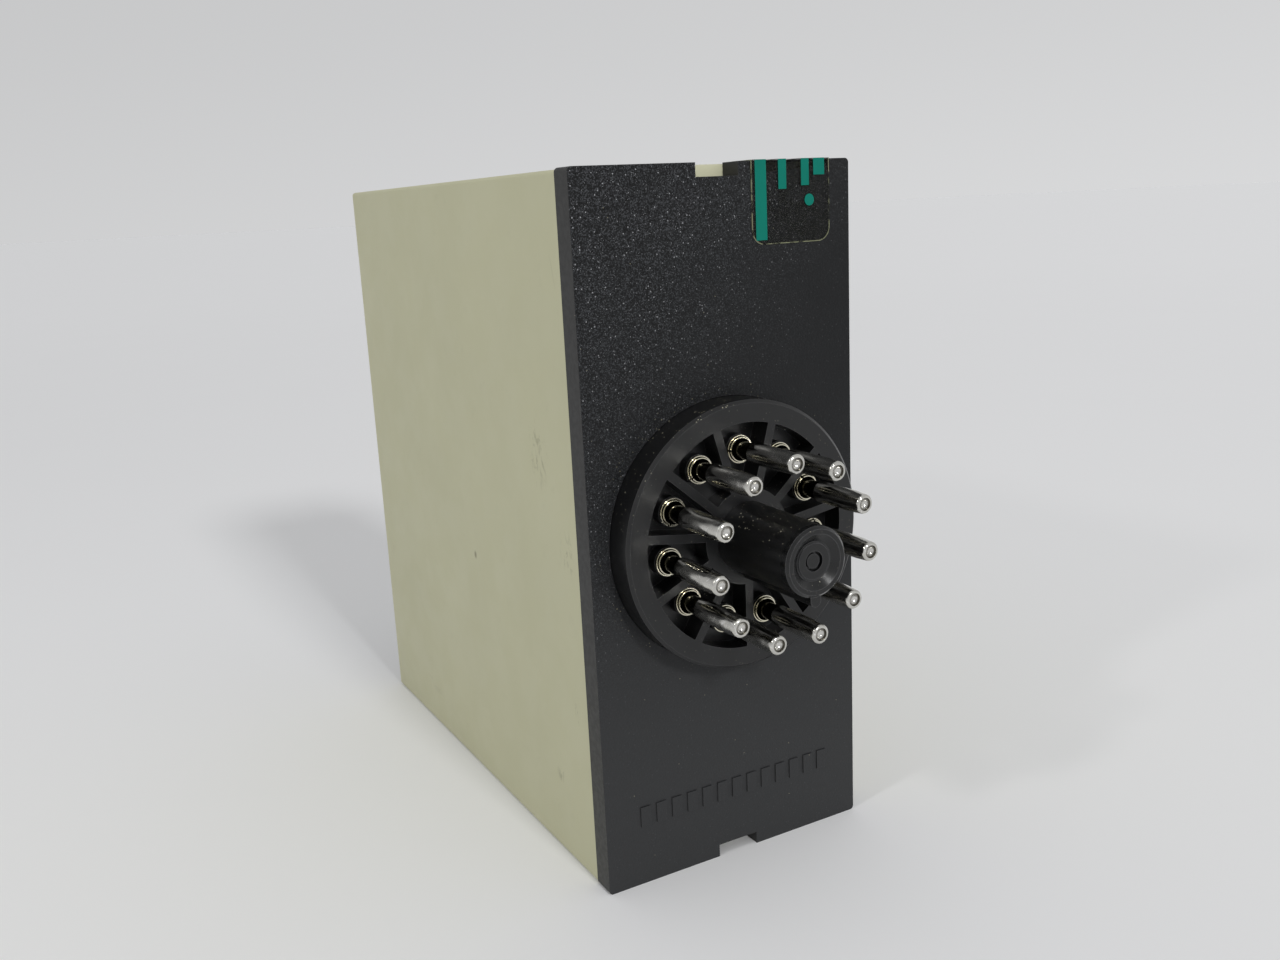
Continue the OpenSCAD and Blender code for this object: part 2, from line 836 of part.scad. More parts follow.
// Rectangular ring around the transformer's middle leg
module leg_ring(inner, outer, z_low, z_high) {
    difference() {
        block([-outer[0], -outer[1], z_low], [outer[0], outer[1], z_high]);
        block([-inner[0], -inner[1], z_low - cut], [inner[0], inner[1], z_high + cut]);
    }
}

bobbin_hole = [core_stack / 2 + bobbin_play, core_leg + bobbin_play];
bobbin_tube = [bobbin_hole[0] + bobbin_wall, bobbin_hole[1] + bobbin_wall];
bobbin_rim = [bobbin_x, bobbin_y];
bobbin_low = core_leg + bobbin_play / 2;
bobbin_high = core_h - core_leg - bobbin_play / 2;
bobbin_mid = (bobbin_low + bobbin_high) / 2;

module transformer_bobbin() {
    color(nylon) in_transformer() {
        leg_ring(bobbin_hole, bobbin_tube, bobbin_low, bobbin_high);
        for (z = [bobbin_low, bobbin_mid - bobbin_flange / 2, bobbin_high - bobbin_flange]) {
            leg_ring(bobbin_hole, bobbin_rim, z, z + bobbin_flange);
        }
        for (s = [-1, 1]) {
            translate([s * (bobbin_x - foot_w / 2), 0, 0])
                block([-foot_w / 2, -bobbin_y, 0], [foot_w / 2, bobbin_y, bobbin_low + cut / 4]);
        }
    }
}

module winding(z_low, z_high) {
    gap = bobbin_play / 4;
    leg_ring([bobbin_tube[0] + gap, bobbin_tube[1] + gap],
             [bobbin_rim[0] - winding_inset, bobbin_rim[1] - winding_inset],
             z_low + gap, z_high - gap);
}

module primary_winding() {
    color(copper) in_transformer()
        winding(bobbin_low + bobbin_flange, bobbin_mid - bobbin_flange / 2);
}

module secondary_winding() {
    color(copper) in_transformer()
        winding(bobbin_mid + bobbin_flange / 2, bobbin_high - bobbin_flange);
}

module transformer_pins() {
    color(tin) on_board() for (p = TRANSFORMER_LEADS) {
        lead(p, core_lift);
    }
}

module relay_base() {
    x_low = cover_wall + base_play;
    base_y = relay_w / 2 - cover_wall - base_play;
    color(soft_black) in_relay() difference() {
        block([x_low, -base_y, base_lift], [relay_l - x_low, base_y, base_top]);
        block([spring_near - card_play, -spring_y - card_play, base_top - spring_bed],
              [spring_far + card_play, spring_y + card_play, base_top + cut]);
        for (s = [-1, 1]) {
            translate([blade_x, s * blade_y, 0])
                block([-blade_slot / 2, -blade_w / 2 - card_play, blade_bottom - card_play / 2],
                      [blade_slot / 2, blade_w / 2 + card_play, base_top + cut]);
            for (p = RELAY_PINS) {
                translate([p[0], s * p[1], base_lift - cut])
                    cylinder(r = relay_pin_r + base_play / 2, h = relay_pin_top - base_lift + cut);
            }
        }
    }
}

module relay_cover() {
    cover_y = relay_w / 2;
    color([0.20, 0.32, 0.50]) in_relay() difference() {
        block([0, -cover_y, cover_lift], [relay_l, cover_y, relay_h]);
        block([cover_wall, -cover_y + cover_wall, cover_lift - cut],
              [relay_l - cover_wall, cover_y - cover_wall, relay_h - cover_wall]);
    }
}

// Round bar on the coil's axis between two places along the relay
module coil_bar(r, x_low, x_high) {
    translate([x_low, 0, coil_axis]) rotate([0, 90, 0]) cylinder(r = r, h = x_high - x_low);
}

module coil_bobbin() {
    color(nylon) in_relay() difference() {
        union() {
            for (x = [coil_near, coil_far - coil_flange]) {
                block([x, -coil_flange_y, coil_axis - coil_flange_z],
                      [x + coil_flange, coil_flange_y, coil_axis + coil_flange_z]);
            }
            coil_bar(coil_barrel_r, coil_near, coil_far);
        }
        coil_bar(coil_core_r + coil_core_play, coil_near - cut, coil_far + cut);
    }
}

module coil_winding() {
    gap = coil_core_play;
    color(copper) in_relay() difference() {
        coil_bar(coil_r, coil_near + coil_flange + gap, coil_far - coil_flange - gap);
        coil_bar(coil_barrel_r + gap, coil_near, coil_far);
    }
}

module coil_core() {
    color(steel) in_relay() {
        coil_bar(coil_core_r, coil_near - pole_gap - pole_t / 2, yoke_far);
        coil_bar(pole_r, coil_near - pole_gap - pole_t, coil_near - pole_gap);
    }
}

module yoke() {
    color(steel) in_relay() difference() {
        union() {
            block([yoke_near, -yoke_y, base_top], [yoke_far, yoke_y, base_top + yoke_t]);
            block([yoke_far - yoke_t, -yoke_y, base_top], [yoke_far, yoke_y, yoke_top]);
        }
        coil_bar(coil_core_r + coil_core_play / 2, yoke_far - yoke_t - cut, yoke_far + cut);
    }
}

module armature() {
    color(steel) in_relay() {
        block([armature_near, -armature_y, armature_bottom],
              [armature_near + armature_t, armature_y, armature_shoulder]);
        block([armature_near, -armature_tip_y, armature_shoulder - cut],
              [armature_near + armature_t, armature_tip_y, armature_top]);
    }
}

module return_spring() {
    leaf_low = base_top - spring_bed + spring_t / 3;
    color(brass) in_relay() {
        block([spring_near, -spring_y, leaf_low], [spring_far, spring_y, leaf_low + spring_t]);
        block([spring_near, -spring_y, leaf_low], [spring_near + spring_t, spring_y, spring_top]);
    }
}

// Card that the armature's tip moves, and that carries the contact blades with it
module pusher() {
    color(nylon) in_relay() difference() {
        block([card_near, -card_y, card_bottom], [card_far, card_y, card_top]);
        block([armature_near - card_play, -armature_tip_y - card_play, card_bottom - cut],
              [armature_near + armature_t + card_play, armature_tip_y + card_play, card_top + cut]);
        for (s = [-1, 1]) {
            translate([blade_x, s * blade_y, 0])
                block([-blade_t / 2 - card_play, -blade_w / 2 - card_play, card_bottom - cut],
                      [blade_t / 2 + card_play, blade_w / 2 + card_play, card_top + cut]);
        }
    }
}

// Contact button along the relay's length at one of the two poles
module contact_button(x_low, x_high, side) {
    translate([x_low, side * blade_y, contact_z]) rotate([0, 90, 0])
        cylinder(r = contact_r, h = x_high - x_low);
}

module moving_contacts() {
    half = blade_t / 2;
    color(brass) in_relay() for (s = [-1, 1]) {
        translate([blade_x, s * blade_y, 0])
            block([-half, -blade_w / 2, blade_bottom], [half, blade_w / 2, blade_top]);
        contact_button(blade_x - half - contact_t, blade_x + half + contact_t, s);
    }
}

module make_contacts() {
    post = make_face + contact_t;
    color(brass) in_relay() for (s = [-1, 1]) {
        translate([post, s * blade_y, 0])
            block([0, -blade_w / 2, base_top], [post_t, blade_w / 2, post_top]);
        contact_button(make_face, post + post_t / 2, s);
    }
}

module break_contacts() {
    post = break_face - contact_t;
    color(brass) in_relay() for (s = [-1, 1]) {
        translate([post - post_t, s * blade_y, 0])
            block([0, -blade_w / 2, base_top], [post_t, blade_w / 2, post_top]);
        contact_button(post - post_t / 2, break_face, s);
    }
}

module relay_pins() {
    color(tin) on_board() for (p = RELAY_LEADS) {
        lead(p, relay_pin_top, relay_pin_r);
    }
}

module smoothing_capacitor() {
    groove_z = 3;
    color([0.10, 0.14, 0.30]) on_board()
        translate([capacitor_at[0], capacitor_at[1], capacitor_lift]) difference() {
            cylinder(d = capacitor_d, h = capacitor_h);
            translate([0, 0, groove_z]) difference() {
                cylinder(d = capacitor_d + cut, h = capacitor_groove);
                translate([0, 0, -cut])
                    cylinder(d = capacitor_d - capacitor_groove, h = capacitor_groove + 2 * cut);
            }
        }
}

module film_capacitor() {
    color([0.75, 0.25, 0.12]) on_board()
        translate([film_at[0], film_at[1], capacitor_lift + film_size[2] / 2])
            cube(film_size, center = true);
}

module varistor() {
    color([0.12, 0.25, 0.55]) on_board()
        translate([varistor_at[0], varistor_at[1], varistor_lift + varistor_d / 2])
            rotate([90, 0, 0]) cylinder(d = varistor_d, h = varistor_t, center = true);
}

// Round body lying along the board's height
module axial_body(at, d, l) {
    translate([at[0], at[1], axial_height]) rotate([90, 0, 0])
        cylinder(d = d, h = l, center = true);
}

module rectifier_diodes() {
    color(black) on_board() for (at = DIODES) {
        axial_body(at, diode_d, diode_l);
    }
}

module resistors() {
    end_l = resistor_l / 4;
    color([0.25, 0.45, 0.62]) on_board() for (at = RESISTORS) {
        axial_body(at, resistor_waist_d, resistor_l);
        for (s = [-1, 1]) {
            axial_body([at[0], at[1] + s * (resistor_l - end_l) / 2], resistor_d, end_l);
        }
    }
}

module control_ic() {
    dimple_r = 0.8;
    color(black) on_board() translate([ic_at[0], ic_at[1], ic_lift]) difference() {
        block([-ic_size[0] / 2, -ic_size[1] / 2, 0], [ic_size[0] / 2, ic_size[1] / 2, ic_size[2]]);
        translate([ic_size[0] / 2, 0, ic_size[2] / 2]) cylinder(r = dimple_r, h = ic_size[2]);
    }
}

module transistors() {
    color(black) on_board() for (at = TRANSISTORS) {
        translate([at[0], at[1], transistor_lift]) difference() {
            cylinder(d = transistor_d, h = transistor_h);
            block([-transistor_d, transistor_flat, -cut],
                  [transistor_d, transistor_d, transistor_h + cut]);
        }
    }
}

// Bent lead of an axial component: up through the board, then in to the body
module axial_lead(at, body_l) {
    reach = axial_half_span - body_l / 2;
    lead(at, axial_height + lead_r);
    translate([at[0], at[1] - (at[2] < 0 ? 0 : reach), axial_height])
        rotate([-90, 0, 0]) cylinder(r = lead_side_r, h = reach);
}

module component_leads() {
    diode_ends = 2 * len(DIODES);
    color(tin) {
        on_board() {
            for (p = RADIAL_LEADS) {
                lead(p, p[2]);
            }
            for (k = [0:len(AXIAL_LEADS) - 1]) {
                axial_lead(AXIAL_LEADS[k], k < diode_ends ? diode_l : resistor_l);
            }
            for (p = IC_LEADS) {
                lead(p, ic_leg_z);
                translate([p[0], p[1], ic_leg_z - ic_leg_t])
                    block([-lead_r, p[2] < 0 ? 0 : ic_size[1] / 2 - ic_row, 0],
                          [lead_r, p[2] < 0 ? ic_row - ic_size[1] / 2 : 0, ic_leg_t]);
            }
            for (p = LED_LEADS) {
                lead(p, p[2] - board_face + lead_r);
            }
        }
        for (p = LED_LEADS) {
            translate([p[2], 0, p[1]]) bar_y(lead_side_r, led_base_y, p[0]);
        }
    }
}

housing();
base_plate();
plug_base();
spigot();
for (i = [1:pin_count]) {
    contact_pin(i);
}
lead_wires();
solder_tips();
seal_label();
front_label();
knob();
knob_cap();
potentiometer_case();
potentiometer_shaft();
potentiometer_wiper();
resistance_track();
potentiometer_terminals();
led_green();
led_red();
main_board();
terminal_board();
link_pins();
transformer_core();
transformer_bobbin();
primary_winding();
secondary_winding();
transformer_pins();
relay_base();
relay_cover();
coil_bobbin();
coil_winding();
coil_core();
yoke();
armature();
return_spring();
pusher();
moving_contacts();
make_contacts();
break_contacts();
relay_pins();
smoothing_capacitor();
film_capacitor();
varistor();
rectifier_diodes();
resistors();
control_ic();
transistors();
component_leads();
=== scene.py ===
"""Looks of the plug-in relay module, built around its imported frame. All lengths are in metres."""

import json
import math

import bmesh
import bpy
from mathutils import Matrix, Vector


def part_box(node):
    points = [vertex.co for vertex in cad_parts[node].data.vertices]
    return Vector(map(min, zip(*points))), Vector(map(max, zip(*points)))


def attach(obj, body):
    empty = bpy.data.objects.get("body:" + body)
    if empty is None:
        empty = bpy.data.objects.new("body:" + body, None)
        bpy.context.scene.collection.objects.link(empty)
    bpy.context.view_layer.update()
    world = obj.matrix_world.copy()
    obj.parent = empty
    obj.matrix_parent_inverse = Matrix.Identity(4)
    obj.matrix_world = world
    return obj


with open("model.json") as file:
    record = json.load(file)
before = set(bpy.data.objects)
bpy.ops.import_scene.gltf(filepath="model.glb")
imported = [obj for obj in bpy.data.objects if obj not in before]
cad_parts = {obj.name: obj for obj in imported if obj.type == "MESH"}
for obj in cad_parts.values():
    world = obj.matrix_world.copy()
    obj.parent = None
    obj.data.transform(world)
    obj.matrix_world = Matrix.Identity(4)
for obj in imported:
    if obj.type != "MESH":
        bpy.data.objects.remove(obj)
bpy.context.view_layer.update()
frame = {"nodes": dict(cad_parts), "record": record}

NODES = frame["nodes"]
MM = 0.001

# Read from the frame
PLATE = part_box("base_plate")
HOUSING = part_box("housing")
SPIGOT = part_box("spigot")
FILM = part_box("seal_label")
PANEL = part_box("front_label")
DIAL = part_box("knob")
PIN_NAMES = sorted(name for name in NODES if name.startswith("contact_pin_"))
FIRST_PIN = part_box(PIN_NAMES[0])

# Sizes and places that no node's box gives
PLATE_THICK = 3.0 * MM
PLATE_FACE = HOUSING[1].y + PLATE_THICK
DISC_RADIUS = 15.3 * MM
NECK_END = 1.76 * MM

# Nearly all of a noise's values lie between these two
MOST_NOISE = (0.3, 0.7)

# Level direction in which the room is brighter
BRIGHT_SIDE = Vector((-0.876, 0.482, 0))


# ---------------------------------------------------------------- node trees

class Nodes:
    """A node tree, with a short call for each kind of node that it uses."""

    def __init__(self, tree):
        self.tree = tree

    def add(self, kind, **settings):
        node = self.tree.nodes.new(kind)
        for key, value in settings.items():
            setattr(node, key, value)
        return node

    def feed(self, socket, value):
        if isinstance(value, bpy.types.NodeSocket):
            self.tree.links.new(value, socket)
        else:
            socket.default_value = value

    def calc(self, operation, a, b=0.0):
        node = self.add("ShaderNodeMath", operation=operation)
        self.feed(node.inputs[0], a)
        self.feed(node.inputs[1], b)
        return node.outputs[0]

    def times(self, a, b):
        return self.calc("MULTIPLY", a, b)

    def plus(self, a, b):
        return self.calc("ADD", a, b)

    def minus(self, a, b):
        return self.calc("SUBTRACT", a, b)

    def largest(self, first, *others):
        for other in others:
            first = self.calc("MAXIMUM", first, other)
        return first

    def diagonal(self, a, b):
        """Distance across a rectangle of a by b."""
        return self.calc("SQRT", self.plus(self.times(a, a), self.times(b, b)))

    def dot(self, a, b):
        node = self.add("ShaderNodeVectorMath", operation="DOT_PRODUCT")
        self.feed(node.inputs[0], a)
        self.feed(node.inputs[1], b)
        return node.outputs["Value"]

    def axis(self, vector, letter):
        node = self.add("ShaderNodeSeparateXYZ")
        self.feed(node.inputs[0], vector)
        return node.outputs[letter]

    def ease(self, value, low, high, start=0.0, end=1.0, kind="SMOOTHSTEP"):
        """Start below low, end above high, and smooth between them."""
        node = self.add("ShaderNodeMapRange", interpolation_type=kind)
        self.feed(node.inputs["Value"], value)
        node.inputs["From Min"].default_value = low
        node.inputs["From Max"].default_value = high
        node.inputs["To Min"].default_value = start
        node.inputs["To Max"].default_value = end
        return node.outputs["Result"]

    def between(self, value, low, high, soft):
        """1 where a length lies between low and high, with a soft border."""
        rise = self.ease(value, low - soft, low + soft)
        fall = self.ease(value, high + soft, high - soft)
        return self.times(rise, fall)


class Finish(Nodes):
    """One material: patterns and masks in the object's own coordinates, and the shader's sockets."""

    def __init__(self, name):
        self.material = bpy.data.materials.new(name)
        self.material.use_nodes = True
        super().__init__(self.material.node_tree)
        self.shader = self.tree.nodes["Principled BSDF"]
        coordinates = self.add("ShaderNodeTexCoord")
        self.place = coordinates.outputs["Object"]
        self.facing = coordinates.outputs["Normal"]
        self.x = self.axis(self.place, "X")
        self.y = self.axis(self.place, "Y")
        self.z = self.axis(self.place, "Z")

    # Patterns

    def moved(self, stretch, shift):
        """The place on the object, stretched and shifted alike along all three axes."""
        node = self.add("ShaderNodeMapping")
        self.feed(node.inputs["Vector"], self.place)
        node.inputs["Scale"].default_value = stretch
        node.inputs["Location"].default_value = (shift, shift, shift)
        return node.outputs[0]

    def noise(self, size, detail=2.0, roughness=0.5, distortion=0.0, stretch=(1, 1, 1), shift=0.0):
        """Soft noise from 0 to 1 with features about as large as size."""
        node = self.add("ShaderNodeTexNoise")
        self.feed(node.inputs["Vector"], self.moved(stretch, shift))
        node.inputs["Scale"].default_value = 1 / size
        node.inputs["Detail"].default_value = detail
        node.inputs["Roughness"].default_value = roughness
        node.inputs["Distortion"].default_value = distortion
        return node.outputs["Fac"]

    def patches(self, size, low, high, start=0.0, end=1.0, **how):
        """Noise of that size, eased from start to end between its levels low and high."""
        return self.ease(self.noise(size, **how), low, high, start, end)

    def cells(self, size, stretch=(1, 1, 1), shift=0.0):
        """Random cells of about that size: the distance to each centre, and a random colour."""
        node = self.add("ShaderNodeTexVoronoi", feature="F1")
        self.feed(node.inputs["Vector"], self.moved(stretch, shift))
        node.inputs["Scale"].default_value = 1 / size
        return node.outputs["Distance"], node.outputs["Color"]

    def borders(self, size, shift=0.0):
        """Distance to the border between random cells of about that size, in shares of it."""
        node = self.add("ShaderNodeTexVoronoi", feature="DISTANCE_TO_EDGE")
        self.feed(node.inputs["Vector"], self.moved((1, 1, 1), shift))
        node.inputs["Scale"].default_value = 1 / size
        return node.outputs["Distance"]

    def specks(self, size, radius, share, shift=0.0, stretch=(1, 1, 1)):
        """Small round flecks, one at most for each cell, in that share of the cells."""
        distance, colour = self.cells(size, stretch, shift)
        chosen = self.calc("LESS_THAN", self.axis(colour, "X"), share)
        width = self.times(self.axis(colour, "Y"), radius / size)
        inside = self.calc("LESS_THAN", distance, self.plus(width, 0.3 * radius / size))
        return self.times(chosen, inside)

    def scratches(self, size, width, share, shift=0.0):
        """Fine curved scratches, on that share of the surface."""
        line = self.ease(self.borders(size, shift), width / size, 0.3 * width / size)
        where = self.patches(0.7 * size, 1 - share, 1.08 - share, detail=1.0, shift=shift + 3)
        return self.times(line, where)

    # Masks

    def edges(self, radius):
        """1 on edges, falling off to 0 about a radius away from them."""
        rounded = self.add("ShaderNodeBevel", samples=4)
        rounded.inputs["Radius"].default_value = radius
        flat = self.add("ShaderNodeNewGeometry")
        return self.ease(self.dot(rounded.outputs[0], flat.outputs["Normal"]), 0.995, 0.90)

    def turned_to(self, letter, low, high):
        """1 where the surface faces along that axis."""
        return self.ease(self.axis(self.facing, letter), low, high)

    def around_plug(self, x=0.0, z=0.0):
        """Distance from an axis along Y, which is the plug's own unless x and z say otherwise."""
        return self.diagonal(self.minus(self.x, x), self.minus(self.z, z))

    def from_pin_axis(self):
        """Distance from the axis of the nearest contact pin."""
        first = (FIRST_PIN[0] + FIRST_PIN[1]) / 2
        circle = math.hypot(first.x, first.z)
        step = 2 * math.pi / len(PIN_NAMES)
        angle = self.calc("ARCTAN2", self.z, self.x)
        turn = self.times(self.minus(angle, math.atan2(first.z, first.x)), 1 / step)
        off = self.times(self.minus(turn, self.calc("ROUND", turn)), step)
        radius = self.around_plug()
        along = self.minus(self.times(radius, self.calc("COSINE", off)), circle)
        aside = self.times(radius, self.calc("SINE", off))
        return self.diagonal(along, aside)

    def near(self, y, z, reach, tall):
        """1 at a place on a side wall, falling off to 0 at the reach, stretched along Z by tall."""
        up = self.times(self.minus(self.z, z), 1 / tall)
        return self.ease(self.diagonal(self.minus(self.y, y), up), reach, 0.3 * reach)

    # Colours

    def mix(self, share, first, second):
        node = self.add("ShaderNodeMix", data_type="RGBA")
        self.feed(node.inputs["Factor"], share)
        self.feed(node.inputs[6], rgba(first))
        self.feed(node.inputs[7], rgba(second))
        return node.outputs[2]

    def uneven(self, first, second, size, **how):
        """A colour that wanders between two others, in patches of that size."""
        return self.mix(self.noise(size, **how), first, second)

    def laid(self, base, where, strength, tone):
        """The base colour, with another tone laid over it at that strength where the mask is."""
        return self.mix(self.times(where, strength), base, tone)

    # The shader's sockets

    def colour(self, value):
        self.feed(self.shader.inputs["Base Color"], rgba(value))

    def paint_over(self, share, tone):
        """Lays another tone over the colour that is there already."""
        there = self.shader.inputs["Base Color"].links[0].from_socket
        self.colour(self.mix(share, there, tone))

    def roughness(self, value):
        self.feed(self.shader.inputs["Roughness"], value)

    def uneven_roughness(self, low, high, size, **how):
        self.roughness(self.patches(size, *MOST_NOISE, low, high, **how))

    def relief(self, *layers):
        """Bump layers, each a height from 0 to 1 and its depth in metres."""
        normal = None
        for height, depth in layers:
            bump = self.add("ShaderNodeBump")
            self.feed(bump.inputs["Height"], height)
            bump.inputs["Distance"].default_value = depth
            bump.inputs["Strength"].default_value = 1.0
            if normal is not None:
                self.feed(bump.inputs["Normal"], normal)
            normal = bump.outputs[0]
        self.feed(self.shader.inputs["Normal"], normal)

    def fixed(self, **values):
        """Constant values straight on the shader's sockets."""
        for key, value in values.items():
            socket = key.replace("_", " ").title().replace("Ior", "IOR")
            self.shader.inputs[socket].default_value = value


def rgba(value):
    if isinstance(value, tuple):
        return (*value, 1.0)
    return value


# ---------------------------------------------------------------- plastics outside

def housing_plastic():
    """Warm grey-beige, with dark rubbed marks where it was handled near the base plate."""
    f = Finish("housing_plastic")
    wall = f.turned_to("X", 0.7, 0.9)
    beige = f.uneven((0.505, 0.497, 0.328), (0.555, 0.546, 0.364), 14 * MM, detail=3.0)
    grime = f.patches(3.2 * MM, 0.58, 0.82, end=0.10, detail=4.0, roughness=0.6, shift=5)
    beige = f.mix(grime, beige, (0.26, 0.25, 0.15))
    marks = f.scratches(21 * MM, 0.16 * MM, 0.30, shift=2)
    beige = f.laid(beige, marks, 0.20, (0.20, 0.19, 0.12))
    flecks = f.specks(7.0 * MM, 0.14 * MM, 0.18)
    beige = f.laid(beige, flecks, 0.7, (0.16, 0.14, 0.08))
    # Rubbed places on the wall: y, z and reach in millimetres, and how much taller than wide
    handled = 0.0
    for y, z, reach, tall in ((-15.8, 9.5, 3.2, 1.6), (-9.8, -1.0, 2.2, 1.6),
                              (-9.7, -20.3, 1.1, 1.8), (-15.4, -30.2, 1.5, 0.8)):
        handled = f.largest(handled, f.near(y * MM, z * MM, reach * MM, tall))
    rub = f.patches(1.1 * MM, 0.50, 0.66, detail=3.0, roughness=0.65, distortion=1.5,
                    stretch=(1, 1, 0.5), shift=7)
    beige = f.laid(beige, f.times(rub, f.times(handled, wall)), 0.38, (0.17, 0.16, 0.08))
    chip = f.times(f.near(-38.7 * MM, -8.0 * MM, 0.55 * MM, 1.3), wall)
    beige = f.laid(beige, chip, 0.7, (0.16, 0.14, 0.07))
    # The housing's end, which shows in the base plate's notches, is painted paler: painted light
    # falling on it
    painted_light_end = f.turned_to("Y", 0.6, 0.8)
    beige = f.mix(painted_light_end, beige, (0.72, 0.71, 0.50))
    # Its edges are painted lighter: a painted highlight along them
    beige = f.laid(beige, f.edges(0.3 * MM), 0.25, (0.70, 0.69, 0.54))
    f.colour(beige)
    f.uneven_roughness(0.46, 0.58, 5 * MM, detail=3.0, shift=9)
    f.relief((f.noise(0.16 * MM, detail=1.0), 0.006 * MM), (marks, -0.01 * MM))
    return f


def plate_plastic():
    """Black with a spark-eroded face and smooth narrow sides. Glints on the grains, a sheen low on the
    face and the light on one side are painted into the colour.
    """
    f = Finish("plate_plastic")
    face = f.turned_to("Y", 0.6, 0.8)
    black = f.uneven((0.0078, 0.0083, 0.0091), (0.0115, 0.0121, 0.0131), 6 * MM, detail=3.0)
    # The face is painted lighter towards its bottom: a painted sheen
    painted_sheen_below = f.times(f.ease(f.z, 20 * MM, -30 * MM), face)
    black = f.mix(painted_sheen_below, black, (0.0325, 0.0334, 0.0346))
    # The texture is coarser towards one upper corner, and painted glints grow there too
    width = PLATE[1].x - PLATE[0].x
    coarse = f.plus(f.times(f.x, 1 / width), f.times(f.z, 1 / (50 * MM)))
    coarse = f.plus(coarse, f.times(f.noise(7 * MM, shift=11), 0.5))
    glint_paint_mask = f.times(f.ease(coarse, 0.20, 1.40, 0.05, 1.0), face)
    texture = f.noise(0.15 * MM, roughness=0.6, shift=13)
    # Its grains are painted lighter and its pits darker there: painted highlights and painted shade
    painted_pit_shade = f.times(f.ease(texture, 0.50, 0.34), glint_paint_mask)
    black = f.mix(painted_pit_shade, black, (0.001, 0.001, 0.001))
    grain = f.times(f.ease(texture, 0.50, 0.66), glint_paint_mask)
    black = f.mix(grain, black, (0.056, 0.059, 0.064))
    # The side facing +X is painted lighter: painted light falling on it
    painted_lit_side = f.turned_to("X", 0.7, 0.9)
    black = f.mix(painted_lit_side, black, (0.0300, 0.0300, 0.0295))
    # Bright specks painted into the colour as glints: painted highlights
    for size, radius, share, shift in ((0.30, 0.055, 0.28, 0), (0.20, 0.038, 0.30, 6)):
        glint = f.times(f.specks(size * MM, radius * MM, share, shift=shift), glint_paint_mask)
        black = f.mix(glint, black, (0.320, 0.325, 0.340))
    # Pale lint and a few amber specks: their cells are long through the face, so it meets them all
    through_face = (1, 0.02, 1)
    lint = f.specks(1.9 * MM, 0.105 * MM, 0.70, shift=4, stretch=through_face)
    black = f.laid(black, lint, 0.7, (0.30, 0.28, 0.20))
    amber = f.specks(9.0 * MM, 0.16 * MM, 0.30, shift=8, stretch=through_face)
    black = f.laid(black, amber, 0.8, (0.36, 0.20, 0.06))
    # Dust settles in the corner around the plug disc
    foot = f.between(f.around_plug(), DISC_RADIUS, DISC_RADIUS + 1.5 * MM, 0.8 * MM)
    settled = f.times(f.specks(0.42 * MM, 0.09 * MM, 0.40, shift=1), foot)
    settled = f.times(settled, f.patches(5 * MM, 0.42, 0.60, shift=6))
    black = f.laid(black, settled, 0.45, (0.28, 0.26, 0.18))
    # Its edges are painted lighter: a painted highlight
    black = f.laid(black, f.edges(0.2 * MM), 0.4, (0.045, 0.045, 0.047))
    f.colour(black)
    f.uneven_roughness(0.34, 0.46, 0.5 * MM, shift=7)
    deep = f.times(f.ease(coarse, -0.5, 0.9, 0.30, 1.0), face)
    spark = f.noise(0.26 * MM, roughness=0.65)
    pits, _ = f.cells(0.30 * MM)
    f.relief((f.times(spark, deep), 0.045 * MM), (f.times(pits, deep), 0.030 * MM))
    f.fixed(specular_ior_level=0.20)
    return f


def plug_plastic():
    """Smooth black, with pale dust on what faces up, fine bright marks from the socket, and painted
    highlights on its edges.
    """
    f = Finish("plug_plastic")
    tip = SPIGOT[1].y
    black = f.uneven((0.0030, 0.0031, 0.0034), (0.0060, 0.0062, 0.0066), 4 * MM, detail=3.0)
    dust = f.times(f.specks(0.38 * MM, 0.070 * MM, 0.55), f.patches(2.2 * MM, 0.38, 0.58, shift=2))
    dust = f.times(dust, f.plus(f.times(f.turned_to("Z", 0.05, 0.8), 0.85), 0.10))
    black = f.mix(dust, black, (0.40, 0.38, 0.29))
    marks = f.scratches(5.5 * MM, 0.05 * MM, 0.26, shift=1)
    black = f.laid(black, marks, 0.35, (0.13, 0.13, 0.13))
    # The edges are painted lighter, most near the spigot's tip: a painted highlight
    tone_share = f.ease(f.y, tip - 1.0 * MM, tip - 0.3 * MM, 0.45, 1.0)
    black = f.mix(f.times(f.edges(0.12 * MM), tone_share), black, (0.085, 0.085, 0.088))
    f.colour(black)
    smoother = f.ease(f.y, tip - 1.3 * MM, tip - 0.9 * MM, 0.0, -0.08)
    uneven = f.patches(1.6 * MM, *MOST_NOISE, 0.29, 0.36, detail=3.0, shift=4)
    f.roughness(f.plus(uneven, smoother))
    f.relief((f.noise(0.9 * MM), 0.003 * MM), (marks, -0.006 * MM))
    f.fixed(specular_ior_level=0.50)
    return f


def film_print(f):
    """Plain bars that come down from the label's fold, and one dot."""
    crisp = 0.03 * MM
    side = FILM[1].x
    top = FILM[1].z
    printed = f.ease(f.around_plug(side - 7.8 * MM, top - 4.5 * MM), 0.70 * MM, 0.62 * MM)
    # In millimetres: from the label's edge to each bar's near and far side, and how far it comes down
    for near, far, drop in ((0.5, 2.0, 8.6), (3.6, 4.7, 3.2), (6.7, 7.8, 2.9), (8.4, 9.95, 1.8)):
        across = f.between(f.x, side - far * MM, side - near * MM, crisp)
        down = f.ease(f.z, top - (drop + 0.05) * MM, top - drop * MM)
        printed = f.largest(printed, f.times(across, down))
    return printed


